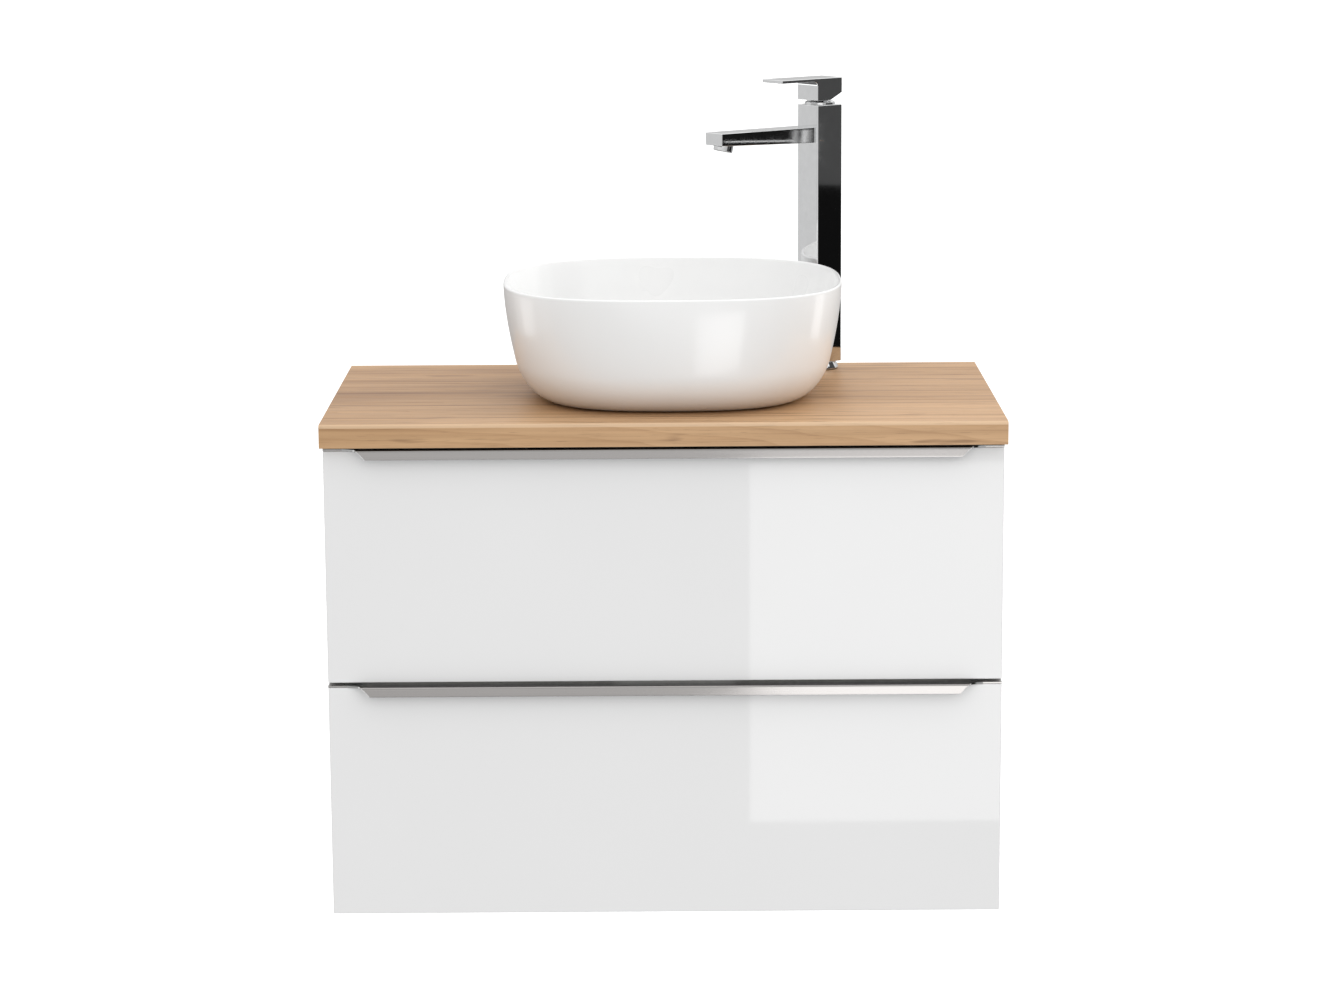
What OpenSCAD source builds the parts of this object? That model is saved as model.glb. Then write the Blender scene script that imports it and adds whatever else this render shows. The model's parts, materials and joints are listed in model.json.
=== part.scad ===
// Wall-hung washbasin vanity: two drawers, a laminate worktop, a vessel basin and a tall mixer tap.
// Millimetres. +X is to the right, +Y towards the wall, +Z up.
// The origin is the centre of the four wall screw holes, on the wall.

/* [Cabinet] */
// Width of the carcass and of the fronts
cabinet_w = 800; // [660:10:1000]
// Height of the cabinet under its worktop
cabinet_h = 570; // [520:10:700]
// Thickness of the carcass boards
board_t = 16; // [15:1:19]
// Thickness of the drawer fronts
front_t = 18; // [16:1:22]
// Gap between the worktop and the upper front
top_gap = 3; // [2:0.5:5]
// Gap between the two fronts
front_gap = 3.5; // [2:0.5:5]
// Gap between the carcass and the back of the fronts
bumper_gap = 2; // [1:0.5:3]
// Height of the wall screws above the cabinet's bottom
fixing_h = 516; // [480:2:520]
// Width of the top rails, front to back
top_rail_w = 70; // [60:5:90]
// Height of the back rails
back_rail_h = 80; // [70:5:100]
// Room behind the back rails for the wall plates
back_recess = 18; // [14:1:25]

/* [Worktop] */
// Depth of the worktop, from the wall to its front edge
worktop_d = 460; // [440:5:520]
// Thickness of the worktop
worktop_t = 28; // [22:1:38]
// How far the worktop stands out over each side
worktop_side = 3; // [0:1:10]
// How far the worktop stands out over the fronts
worktop_nose = 14; // [13:1:30]
// Radius of the worktop's upper front edge
worktop_edge_r = 5; // [2:0.5:8]

/* [Handle profiles] */
// Thickness of the handle profile
handle_t = 2; // [1.5:0.25:3]
// How far the lip stands in front of the drawer front
handle_reach = 12; // [10:0.5:13]
// Height of the lip
handle_drop = 11.5; // [9:0.5:16]
// Distance from the front's side edge to the end of the lip
handle_inset = 38.5; // [10:0.5:80]
// How much further in the lip ends at its lower edge
handle_slant = 10; // [0:0.5:20]
// How much further out the handle's upper side ends where it meets the front
handle_sweep = 16; // [4:1:20]
// Depth of the fin that is bonded into the front's top edge
handle_fin = 8; // [5:0.5:12]

/* [Drawers] */
// Length of the runners
runner_l = 340; // [280:10:360]
// Width of a runner, between the carcass and the drawer side
runner_w = 13; // [13:0.5:16]
// Height of a runner
runner_h = 45; // [40:1:50]
// Width of a hollow steel drawer side
side_w = 15; // [13:0.5:18]
// Height of a steel drawer side
side_h = 86; // [70:2:100]
// Thickness of the steel in the sides and runners
steel_t = 1.2; // [1:0.1:1.4]
// Height of the gallery rail above the drawer's underside
gallery_h = 150; // [120:5:160]
// Radius of the gallery rail
gallery_r = 5; // [4:0.5:6]
// Height of the drawer's underside above the lower edge of its front
drawer_lift = 24; // [20:1:30]
// Width of the cut-out around the trap
cutout_w = 150; // [110:5:180]
// Thickness of the boards that line the cut-out
lining_t = 12; // [10:1:16]

/* [Basin] */
// Width of the basin at its rim
basin_w = 412; // [380:2:430]
// Depth of the basin at its rim, front to back
basin_d = 420; // [370:2:424]
// Height of the basin
basin_h = 140; // [115:1:165]
// Distance of the basin's centre to the right of the cabinet's centre
basin_x = 12; // [-20:1:14]
// Distance of the basin's centre from the wall
basin_y = 228; // [226:1:240]
// Squareness of the basin's outline: 2 is an ellipse
basin_power = 2.75; // [2.4:0.05:3]
// How much the basin's wall leans in over its height
basin_lean = 26; // [15:1:40]
// Width of the rounding under the basin
foot_round_w = 30; // [24:1:60]
// Height of the rounding under the basin
foot_round_h = 47; // [35:1:50]
// Thickness of the rim
rim_t = 4.5; // [4:0.5:8]
// Thickness of the wall
wall_t = 9; // [8:0.5:12]
// Thickness of the floor at the waste
floor_t = 16; // [12:1:20]
// Fall of the floor towards the waste
floor_fall = 5; // [2:0.5:8]
// Thickness of the sealant under the basin
seal_t = 1; // [0.5:0.5:2]

/* [Waste and trap] */
// Radius of the waste's threaded tail
tail_r = 21; // [19:0.5:23]
// Radius of the waste's flange
flange_r = 31.5; // [30:0.5:33]
// Radius of the waste pipe
pipe_r = 16; // [14:0.5:17]
// Radius of the trap's cup
cup_r = 30; // [28:0.5:34]
// Height of the waste pipe's axis under the worktop
outlet_drop = 160; // [150:5:170]
// Travel of the push-to-open plug
plug_travel = 8; // [5:0.5:10]

/* [Tap] */
// Distance of the tap's axis to the right of the cabinet's centre
tap_x = 200; // [196:1:215]
// Distance of the tap's axis from the wall
tap_y = 43; // [40:1:46]
// Turn of the spout from straight ahead towards the left
tap_turn = 53; // [40:1:60]
// Width of the square column
column_w = 40; // [38:1:46]
// Height of the column's top above the worktop
column_h = 337; // [290:1:400]
// Height of the round foot
foot_h = 10; // [6:1:14]
// Length of the spout
spout_l = 150; // [120:5:170]
// Width of the spout
spout_w = 33; // [28:1:36]
// Thickness of the spout at the column
spout_t = 20; // [18:1:24]
// Thickness of the spout at its tip
spout_tip_t = 15.5; // [13:0.5:18]
// Distance of the spout's upper face below the column's top
spout_drop = 27; // [24:1:40]
// Lean of the aerator towards the spout's tip
aerator_tilt = 14; // [0:1:16]
// Height of the lever's block
lever_h = 28; // [24:1:34]
// Length of the lever's plate beyond its block
lever_l = 57; // [40:1:70]
// Thickness of the lever's plate
lever_t = 4; // [3:0.5:6]
// Gap between the column and the lever's block
lever_gap = 6; // [5.5:0.5:8]

/* [Hidden] */
$fn = 48;

// Clearances: between fitted pieces, between free ones, and between pieces that are glued or clamped.
// over is how far a cut runs past the face that it cuts.
fit = 0.05;
slack = 0.3;
joint_line = 0.05;
over = 1;

// Cabinet
half_w = cabinet_w / 2;
inner = half_w - board_t;
bottom_z = -fixing_h;
top_z = bottom_z + cabinet_h;
deck_z = top_z + worktop_t;
front_face_y = worktop_nose - worktop_d;
front_back_y = front_face_y + front_t;
carcass_y = front_back_y + bumper_gap;
rail_y = -back_recess - board_t;
upper_rail_drop = 120;
upper_rail_z = top_z - upper_rail_drop;
rail_behind_tap = 107;
back_top_rail_y = -tap_y - rail_behind_tap;
front_h = (cabinet_h - top_gap - front_gap) / 2;
upper_z = bottom_z + front_h + front_gap;

// Dowels and cams that join the boards to the sides: the dowel stands joint_inset in from the board's edge,
// and the cam joint_spacing further in. The upper back rail is low at its ends, so its own are closer.
joint_inset = 20;
joint_spacing = 32;
low_inset = 10;
low_spacing = 18;
dowel_r = 4;
dowel_in_side = 11;
dowel_in_board = 19;
cam_r = 7.5;
cam_h = 12.5;
cam_reach = 24;
cam_bolt_r = 3;

// Wall fixing
plate_w = 52;
upper_rail_notch = [plate_w + 12, 40];
plate_t = 2.5;
plate_screw_inset = 37;
plate_screw_x = inner - plate_screw_inset;
plate_screw_dz = 10;
plate_screw_r = 3.25;
plate_bottom = -20;
plate_web = 15.5;
plate_top = 40;
plate_offset = 5;
hanger_w = 14;
hanger_front_y = -70;
hanger_back_y = -14;
hook_t = 3;
hook_y = -1.2 - hook_t;
adjuster_inset = 16;
adjuster_r = 4;
adjuster_depth = 5;
hanger_bottom = -24;
hanger_top = plate_top + slack + 3;

// Drawers
fin_y = front_face_y + 8;
runner_y = carcass_y + 2;
runner_back_y = runner_y + runner_l;
runner_screw_inset = 30;
box_x = inner - runner_w;
box_inner_x = box_x - side_w;
bracket_t = 4;
panel_t = 16;
side_flange = 10;
panel_z = steel_t;
board_z = panel_z + panel_t;
gallery_top = gallery_h + 15;
rail_x = box_x - side_w / 2;
cutout_x = [basin_x - cutout_w / 2, basin_x + cutout_w / 2];
cutout_y = -basin_y - cup_r - 40;
lining_h = 120;
bracket_dowel_r = 5;
bracket_dowel_l = 11;
bracket_dowel_heights = [30, 62];
socket_l = 12;
tongue_l = 20;
side_corner_r = 3;

// Basin
segments = 60;
deck_hole_r = tail_r + 4;
rim_r = rim_t / 2;
basin_z = deck_z + seal_t;
inner_h = basin_h - floor_t - floor_fall;
floor_z = basin_z + floor_t;
floor_round = [foot_round_w - 2, foot_round_h - 5];

// Waste and trap
waste_hole_r = tail_r + 1.5;
gasket_t = 1.5;
flange_t = 2;
lower_gasket_t = 3;
waste_nut_h = 8;
tail_z = top_z - 25;
guide_z = floor_z - 14;
guide_h = 10;
stem_z = guide_z - plug_travel - 4;
outlet_z = top_z - outlet_drop;
tube_t = 1;
trap_wall = 2.5;
trap_top_z = outlet_z + 30;
trap_skirt_z = outlet_z - 28;
cup_z = outlet_z - 80;
spigot_r = pipe_r + 1.5;
spigot_l = 48;
insertion_l = 38;
stem_r = 4;

// Tap
foot_top_r = column_w / 2 + 0.5;
foot_r = foot_top_r + 3.5;
shank_r = 14;
shank_bore = 11.2;
deck_tap_r = 17.5;
cartridge_r = 17.3;
cartridge_z = column_h - 44;
cartridge_top = column_h - 6;
neck_r = 11;
pivot_z = column_h - 2;
spindle_r = 8.95;
spindle_depth = 8;
spindle_pin_r = 1.5;
stem_size = [8, 6];
inlet_r = 4.9;
inlet_y = 5.6;
lever_z = column_h + lever_gap;
lever_lift = 22;
ring_top = lever_gap - 1.4;
aerator_r = 12;
aerator_neck_r = aerator_r - 3;
aerator_bore = aerator_r - 5;
aerator_inset = 16;
aerator_x = column_w / 2 + spout_l - aerator_inset;
aerator_drop = 7.5;
aerator_sink = 3;
aerator_neck = 5;
spout_top = column_h - spout_drop;
water_z = spout_top - spout_t / 2;
aerator_z = spout_top - spout_tip_t - (spout_t - spout_tip_t) * aerator_inset / spout_l;

// ---- Shared shapes ----

// Box between two corners
module block(low, high) {
    translate(low) cube(high - low);
}

// The same thing on the left and on the right
module both_sides() {
    children();
    mirror([1, 0, 0]) children();
}

// Round bars along X and along Y, starting at the current point
module rod_x(r, l) {
    rotate([0, 90, 0]) cylinder(r = r, h = l);
}

module rod_y(r, l) {
    rotate([-90, 0, 0]) cylinder(r = r, h = l);
}

// Flat ring, lying on the current point
module ring(outer_r, inner_r, h) {
    difference() {
        cylinder(r = outer_r, h = h);
        translate([0, 0, -over]) cylinder(r = inner_r, h = h + 2 * over);
    }
}

// A flat outline drawn in Y and Z, made l long along X
module along_x(l) {
    rotate([90, 0, 90]) linear_extrude(l) children();
}

// A flat outline drawn in X and Z, made l long towards the front
module along_y(l) {
    rotate([90, 0, 0]) linear_extrude(l) children();
}

// Rectangle with round corners, from the current point
module round_rect(size, r) {
    translate([r, 0]) square([size[0] - 2 * r, size[1]]);
    translate([0, r]) square([size[0], size[1] - 2 * r]);
    for (x = [r, size[0] - r], y = [r, size[1] - r]) translate([x, y]) circle(r = r);
}

// ---- Carcass ----

// Each board's joint with the side: the dowel's and cam's [y, z] and the cam's axis, "y" or "z"
joints = [
    // Boards that lie flat: the bottom at its front and back, then the two top rails
    for (place = [
        [carcass_y + joint_inset, bottom_z + board_t / 2, 1],
        [rail_y - joint_inset, bottom_z + board_t / 2, -1],
        [carcass_y + joint_inset, top_z - board_t / 2, 1],
        [back_top_rail_y + joint_inset, top_z - board_t / 2, 1]
    ]) [[place[0], place[1]], [place[0] + place[2] * joint_spacing, place[1]], "z"],
    // Boards that stand: the two back rails
    for (place = [
        [upper_rail_z + low_inset, low_spacing],
        [bottom_z + board_t + joint_inset, joint_spacing]
    ]) [[rail_y + board_t / 2, place[0]], [rail_y + board_t / 2, place[0] + place[1]], "y"]
];

// Cam disc, bored from the lower face or the front face of the board
module cam_disc(joint, extra) {
    y = joint[1][0];
    z = joint[1][1];
    r = cam_r + extra;
    if (joint[2] == "z")
        translate([inner - cam_reach, y, z - board_t / 2 - extra]) cylinder(r = r, h = cam_h + 2 * extra);
    else
        translate([inner - cam_reach, y - board_t / 2 - extra, z]) rod_y(r, cam_h + 2 * extra);
}

// Every hole that the dowels and cams need, on both sides
module joint_holes() {
    both_sides() for (joint = joints) {
        translate([inner - dowel_in_board - over, joint[0][0], joint[0][1]])
            rod_x(dowel_r + fit, dowel_in_board + dowel_in_side + 2 * over);
        translate([inner - cam_reach, joint[1][0], joint[1][1]])
            rod_x(cam_bolt_r + fit, cam_reach + dowel_in_side + over);
        cam_disc(joint, fit);
    }
}

// Where the worktop's screws stand, as [x, y]
worktop_screw_places = [
    for (x = [-1, 1] * (inner - 90), y = [carcass_y + 50, back_top_rail_y + 50]) [x, y]
];

module at_worktop_screws() {
    for (place = worktop_screw_places) translate([place[0], place[1], top_z - board_t]) children();
}

// Where the runner screws stand on the right side, as [y, z]
runner_screw_places = [
    for (y = [runner_y + runner_screw_inset, runner_y + runner_l / 2, runner_back_y - runner_screw_inset],
        z = [bottom_z, upper_z]) [y, z + drawer_lift + side_h / 2]
];

module at_runner_screws() {
    both_sides() for (place = runner_screw_places) translate([inner, place[0], place[1]]) children();
}

module side_panel() {
    difference() {
        block([inner, carcass_y, bottom_z], [half_w, 0, top_z]);
        joint_holes();
        at_runner_screws() translate([-over, 0, 0]) rod_x(2.5 + fit, 12.2 + over);
    }
}

module side_left() {
    color("white") mirror([1, 0, 0]) side_panel();
}

module side_right() {
    color("white") side_panel();
}

module bottom_panel() {
    color("white") difference() {
        block([-inner, carcass_y, bottom_z], [inner, -back_recess, bottom_z + board_t]);
        joint_holes();
    }
}

module top_rail(y) {
    difference() {
        block([-inner, y, top_z - board_t], [inner, y + top_rail_w, top_z]);
        joint_holes();
        at_worktop_screws() translate([0, 0, -over]) cylinder(r = 2.25, h = board_t + 2 * over);
    }
}

module top_front_rail() {
    color("white") top_rail(carcass_y);
}

module top_back_rail() {
    color("white") top_rail(back_top_rail_y);
}

// Upper back rail, notched at its upper corners for the hangers and the wall plates
module back_rail_upper() {
    notch_z = upper_rail_z + back_rail_h - upper_rail_notch[1];
    color("white") difference() {
        block([-inner, rail_y, upper_rail_z], [inner, rail_y + board_t, upper_rail_z + back_rail_h]);
        both_sides() block([inner - upper_rail_notch[0], rail_y - over, notch_z],
            [inner + over, rail_y + board_t + over, upper_rail_z + back_rail_h + over]);
        joint_holes();
    }
}

module back_rail_lower() {
    z = bottom_z + board_t;
    color("white") difference() {
        block([-inner, rail_y, z], [inner, rail_y + board_t, z + back_rail_h]);
        joint_holes();
    }
}

module carcass_dowels() {
    color("burlywood") both_sides() for (joint = joints)
        translate([inner - dowel_in_board, joint[0][0], joint[0][1]])
            rod_x(dowel_r, dowel_in_board + dowel_in_side);
}

// Cam discs in the boards, and the bolts that they draw in
module cam_fittings() {
    color("silver") both_sides() for (joint = joints) {
        bolt = [inner - cam_reach + 2, joint[1][0], joint[1][1]];
        translate(bolt) rod_x(cam_bolt_r, cam_reach + dowel_in_side - 2);
        difference() {
            cam_disc(joint, 0);
            translate(bolt - [fit, 0, 0]) rod_x(cam_bolt_r + slack, cam_r + over);
        }
    }
}

// Adjustable hangers in the upper back corners, each with a lip that drops behind its wall plate
module hangers() {
    strip = [inner - hanger_w + 1, inner - 1];
    color("gainsboro") both_sides() {
        difference() {
            block([inner - hanger_w, hanger_front_y, hanger_bottom], [inner, hanger_back_y, hanger_top]);
            for (z = [hanger_bottom + adjuster_inset, hanger_top - adjuster_inset])
                translate([inner - hanger_w / 2, hanger_front_y - over, z])
                    rod_y(adjuster_r, adjuster_depth + over);
        }
        block([strip[0], hanger_back_y - over, plate_top + slack], [strip[1], hook_y + hook_t, hanger_top]);
        block([strip[0], hook_y, plate_web + 6], [strip[1], hook_y + hook_t, hanger_top]);
    }
}

// Wall plates: a flat foot with two screw holes, and a hook stepped forward from the wall
module wall_plates() {
    left = inner - 1 - plate_w;
    right = inner - 1;
    color("silver") both_sides() difference() {
        union() {
            block([left, -plate_t, plate_bottom], [right, 0, plate_web + plate_t]);
            block([left, -plate_offset - plate_t, plate_web], [right, 0, plate_web + plate_t]);
            block([left, -plate_offset - plate_t, plate_web], [right, -plate_offset, plate_top]);
        }
        for (z = [-plate_screw_dz, plate_screw_dz])
            translate([plate_screw_x, -plate_t - over, z]) rod_y(plate_screw_r, plate_t + 2 * over);
    }
}

// ---- Worktop ----

module worktop() {
    width = cabinet_w + 2 * worktop_side;
    r = worktop_edge_r;
    color("burlywood") difference() {
        translate([-width / 2, -worktop_d, top_z]) along_x(width) {
            square([worktop_d, worktop_t - r]);
            translate([r, 0]) square([worktop_d - r, worktop_t]);
            translate([r, worktop_t - r]) circle(r = r);
        }
        translate([basin_x, -basin_y, top_z - over]) cylinder(r = deck_hole_r, h = worktop_t + 2 * over);
        translate([tap_x, -tap_y, top_z - over]) cylinder(r = deck_tap_r, h = worktop_t + 2 * over);
        at_worktop_screws() cylinder(r = 2 + fit, h = board_t + 15);
    }
}

module worktop_screws() {
    color("silver") at_worktop_screws() {
        translate([0, 0, -2.5]) cylinder(r = 4, h = 2.5);
        cylinder(r = 2, h = board_t + 14);
    }
}

// ---- Drawers. Each is built from the height z of its front's lower edge ----

// Front board, with the kerf for the handle's fin and the bores for the brackets' dowels
module front_board(z) {
    color("white") difference() {
        block([-half_w, front_face_y, z], [half_w, front_back_y, z + front_h - handle_t]);
        block([-half_w - over, fin_y - fit, z + front_h - handle_t - handle_fin - slack],
            [half_w + over, fin_y + handle_t + fit, z + front_h]);
        both_sides() at_bracket_dowels(z) rod_y(bracket_dowel_r + fit, bracket_dowel_l + 2 * fit);
    }
}

module at_bracket_dowels(z) {
    for (height = bracket_dowel_heights)
        translate([rail_x, front_back_y - bracket_dowel_l - fit, z + drawer_lift + height]) children();
}

// Half the width of the handle's upper side, at a share of the way from its outer edge back to the front
function handle_half(share) = half_w - handle_inset + handle_sweep * pow(share, 2.6);

// Handle profile: a flange over the front's top edge and a fin in its kerf. In front, its upper side
// narrows in a curve to the lip, which hangs down and has slanted ends.
module handle_profile(z) {
    top = z + front_h;
    upper = handle_half(0);
    lower = upper - handle_slant;
    t = handle_t;
    flat = handle_reach - t;
    shares = [for (i = [0 : 8]) i / 8];
    color("silver") {
        block([-half_w, front_face_y, top - t], [half_w, front_back_y, top]);
        block([-half_w, fin_y, top - t - handle_fin], [half_w, fin_y + t, top - t]);
        translate([0, front_face_y - flat, top - t]) linear_extrude(t) polygon(concat(
            [for (share = shares) [-handle_half(share), flat * share]],
            [[-handle_half(1), flat + over], [handle_half(1), flat + over]],
            [for (share = shares) [handle_half(1 - share), flat * (1 - share)]]
        ));
        intersection() {
            translate([-upper, front_face_y - handle_reach, top]) along_x(2 * upper) {
                translate([0, -handle_drop]) square([t, handle_drop - t]);
                intersection() {
                    translate([t, -t]) circle(r = t);
                    translate([0, -t]) square(t);
                }
            }
            translate([0, front_face_y, top]) along_y(handle_reach + over)
                polygon([[-upper, 0], [upper, 0], [lower, -handle_drop], [-lower, -handle_drop]]);
        }
    }
}

// Hollow steel side with the flange that carries the bottom
module drawer_sides(z) {
    length = runner_l - 2 * bracket_t + 4;
    color("lightgray") both_sides()
        translate([box_inner_x, front_back_y + bracket_t + length, z + drawer_lift]) along_y(length) {
            difference() {
                round_rect([side_w, side_h], side_corner_r);
                translate([steel_t, steel_t])
                    round_rect([side_w - 2 * steel_t, side_h - 2 * steel_t], side_corner_r - steel_t);
            }
            translate([-side_flange, 0]) square([side_flange + side_corner_r + over, steel_t]);
        }
}

// Back end of the drawer's bottom and of its back board
box_back_y = front_back_y + runner_l + 4;

module bottom_board(z) {
    base = z + drawer_lift + panel_z;
    block([-box_inner_x + slack, front_back_y, base], [box_inner_x - slack, box_back_y, base + panel_t]);
}

// Back board between two places across the drawer
module back_board(z, from_x, to_x) {
    block([from_x, box_back_y - board_t, z + drawer_lift + board_z],
        [to_x, box_back_y, z + drawer_lift + gallery_top]);
}

// Tubes above the sides, from the front brackets to the back ones
module gallery_rails(z) {
    color("lightgray") both_sides()
        translate([rail_x, front_back_y + bracket_t + 1, z + drawer_lift + gallery_h]) difference() {
            length = box_back_y - front_back_y - 2 * bracket_t - 2;
            rod_y(gallery_r, length);
            translate([0, -over, 0]) rod_y(gallery_r - 1, length + 2 * over);
        }
}

// Upright plates at both ends of each side, with a socket for the rail
module drawer_brackets(z) {
    base = z + drawer_lift;
    socket_r = side_w / 2;
    color("darkgray") both_sides() {
        // Front bracket, with a tongue inside the hollow side and dowels in the front
        difference() {
            union() {
                block([box_inner_x, front_back_y, base], [box_x, front_back_y + bracket_t, base + gallery_top]);
                block([box_inner_x + 2, front_back_y + bracket_t, base + 6],
                    [box_x - 2, front_back_y + bracket_t + tongue_l, base + side_h - 8]);
                translate([rail_x, front_back_y + bracket_t, base + gallery_h]) rod_y(socket_r, socket_l);
                at_bracket_dowels(z) translate([0, fit, 0]) rod_y(bracket_dowel_r, bracket_dowel_l + over);
            }
            translate([rail_x, front_back_y + bracket_t + slack, base + gallery_h])
                rod_y(gallery_r + fit, socket_l + over);
        }
        // Back bracket
        difference() {
            union() {
                block([box_inner_x, box_back_y - bracket_t, base], [box_x, box_back_y, base + gallery_top]);
                block([box_inner_x - 20, box_back_y, base + board_z],
                    [box_x, box_back_y + 2, base + gallery_top]);
                translate([rail_x, box_back_y - bracket_t - socket_l, base + gallery_h])
                    rod_y(socket_r, socket_l);
            }
            translate([rail_x, box_back_y - bracket_t - socket_l - over, base + gallery_h])
                rod_y(gallery_r + fit, socket_l + over - slack);
        }
    }
}

// Channel open to one side, drawn in X and Z about the runner's middle line
module channel(depth, height) {
    difference() {
        translate([0, -height / 2]) square([depth, height]);
        translate([steel_t, steel_t - height / 2]) square([depth, height - 2 * steel_t]);
    }
}

// Heights of the three nested runner members
middle_h = runner_h - 10;
drawer_member_h = middle_h - 10;

module at_runner(z) {
    both_sides() translate([0, runner_back_y, z + drawer_lift + side_h / 2]) children();
}

// Fixed members, screwed to the cabinet's sides, open towards the drawer
module fixed_runners() {
    color("gainsboro") difference() {
        for (z = [bottom_z, upper_z]) at_runner(z)
            translate([inner, 0, 0]) mirror([1, 0, 0]) along_y(runner_l) channel(runner_w - 3, runner_h);
        at_runner_screws() translate([-runner_w, 0, 0]) rod_x(2.5 + fit, runner_w + over);
    }
}

module runner_screws() {
    head = 1.5;
    color("silver") at_runner_screws() {
        translate([-steel_t - head, 0, 0]) rod_x(4, head);
        translate([-steel_t - head / 2, 0, 0]) rod_x(2.5, 12 + steel_t + head / 2);
    }
}

// Middle members, between the fixed ones and those on the drawer
module middle_runners(z) {
    color("gainsboro") at_runner(z) translate([inner - steel_t - 2, 0, 0]) mirror([1, 0, 0])
        along_y(runner_l) channel(runner_w - steel_t - 4, middle_h);
}

// Members on the drawer's sides, open towards the cabinet
module inner_runners(z) {
    color("gainsboro") at_runner(z) translate([box_x, 0, 0])
        along_y(runner_l) channel(runner_w - 2 * steel_t - 4, drawer_member_h);
}

module upper_front() {
    front_board(upper_z);
}

module upper_handle() {
    handle_profile(upper_z);
}

module upper_sides() {
    drawer_sides(upper_z);
}

// Bottom with the cut-out that lets the drawer pass the trap
module upper_bottom() {
    z = upper_z + drawer_lift;
    color("white") difference() {
        bottom_board(upper_z);
        block([cutout_x[0], cutout_y, z - over], [cutout_x[1], over, z + board_z + over]);
    }
}

// Two back boards, and three boards that line the cut-out between them
module upper_inner_boards() {
    edge = box_inner_x - slack;
    low = upper_z + drawer_lift + board_z;
    high = upper_z + drawer_lift + lining_h;
    back = box_back_y - board_t - joint_line;
    color("white") {
        back_board(upper_z, -edge, cutout_x[0]);
        back_board(upper_z, cutout_x[1], edge);
        block([cutout_x[0] - lining_t, cutout_y, low], [cutout_x[0], back, high]);
        block([cutout_x[1], cutout_y, low], [cutout_x[1] + lining_t, back, high]);
        block([cutout_x[0] - lining_t, cutout_y - lining_t, low],
            [cutout_x[1] + lining_t, cutout_y - joint_line, high]);
    }
}

module upper_gallery_rails() {
    gallery_rails(upper_z);
}

module upper_brackets() {
    drawer_brackets(upper_z);
}

module upper_inner_runners() {
    inner_runners(upper_z);
}

module upper_middle_runners() {
    middle_runners(upper_z);
}

module lower_front() {
    front_board(bottom_z);
}

module lower_handle() {
    handle_profile(bottom_z);
}

module lower_sides() {
    drawer_sides(bottom_z);
}

module lower_bottom() {
    color("white") bottom_board(bottom_z);
}

module lower_back_board() {
    edge = box_inner_x - slack;
    color("white") back_board(bottom_z, -edge, edge);
}

module lower_gallery_rails() {
    gallery_rails(bottom_z);
}

module lower_brackets() {
    drawer_brackets(bottom_z);
}

module lower_inner_runners() {
    inner_runners(bottom_z);
}

module lower_middle_runners() {
    middle_runners(bottom_z);
}

// ---- Basin ----

// Point of a superellipse with half axes a and b
function outline_point(a, b, angle) = [
    a * sign(cos(angle)) * pow(abs(cos(angle)), 2 / basin_power),
    b * sign(sin(angle)) * pow(abs(sin(angle)), 2 / basin_power)
];

// Ring of points, inset from the rim's outline, at a height above the basin's underside
function basin_ring(inset, z) = [
    for (i = [0 : segments - 1])
        let (p = outline_point(basin_w / 2 - inset, basin_d / 2 - inset, i * 360 / segments))
            [p[0], p[1], z]
];

// How far the wall has leant in at a share of its height below the rim
function lean(share) = basin_lean * pow(share, 1.6);

// Outside, from the flat foot up to the rim: [inset, height]
function outside_profile() = concat(
    [for (i = [0 : 6])
        let (t = 90 - i * 90 / 6, d = basin_h - foot_round_h * (1 - sin(t)))
            [lean(d / basin_h) + foot_round_w * (1 - cos(t)), basin_h - d]],
    [for (i = [1 : 4])
        let (d = (basin_h - foot_round_h) * (1 - i / 5)) [lean(d / basin_h), basin_h - d]]
);

// Half round over the rim
function rim_profile() = [
    for (i = [0 : 4]) let (t = i * 45) [rim_r * (1 - cos(t)), basin_h - rim_r * (1 - sin(t))]
];

// Inside, from the rim down to the floor and in to the waste
function inside_wall(d) = rim_t + (wall_t - rim_t) * sin(min(90, 90 * d / 40)) + lean(d / inner_h);

function inside_profile() = concat(
    [for (i = [1 : 5])
        let (d = rim_r + (inner_h - floor_round[1] - rim_r) * i / 5) [inside_wall(d), basin_h - d]],
    [for (i = [1 : 6])
        let (t = i * 90 / 6, d = inner_h - floor_round[1] * (1 - sin(t)))
            [inside_wall(d) + floor_round[0] * (1 - cos(t)), basin_h - d]],
    [[min(basin_w, basin_d) / 2 - flange_r - 4, floor_t]]
);

module basin() {
    profile = concat(outside_profile(), rim_profile(), inside_profile());
    rings = len(profile);
    points = [for (p = profile) each basin_ring(p[0], p[1])];
    sides = [
        for (k = [0 : rings - 2], i = [0 : segments - 1])
            let (j = (i + 1) % segments, a = k * segments, b = a + segments)
                each [[a + i, b + i, b + j], [a + i, b + j, a + j]]
    ];
    foot = [[for (i = [0 : segments - 1]) i]];
    floor_cap = [[for (i = [0 : segments - 1]) rings * segments - 1 - i]];
    color("white") translate([basin_x, -basin_y, basin_z]) difference() {
        polyhedron(points, concat(sides, foot, floor_cap));
        translate([0, 0, -over]) cylinder(r = waste_hole_r, h = floor_t + 2 * over);
    }
}

// Bead of sealant round the basin's foot
module basin_seal() {
    foot_inset = lean(1) + foot_round_w;
    color("white", 0.6) translate([basin_x, -basin_y, deck_z]) linear_extrude(seal_t) difference() {
        polygon([for (p = basin_ring(foot_inset + 5, 0)) [p[0], p[1]]]);
        polygon([for (p = basin_ring(foot_inset + 15, 0)) [p[0], p[1]]]);
    }
}

// ---- Waste ----

module at_waste(z) {
    translate([basin_x, -basin_y, z]) children();
}

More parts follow.
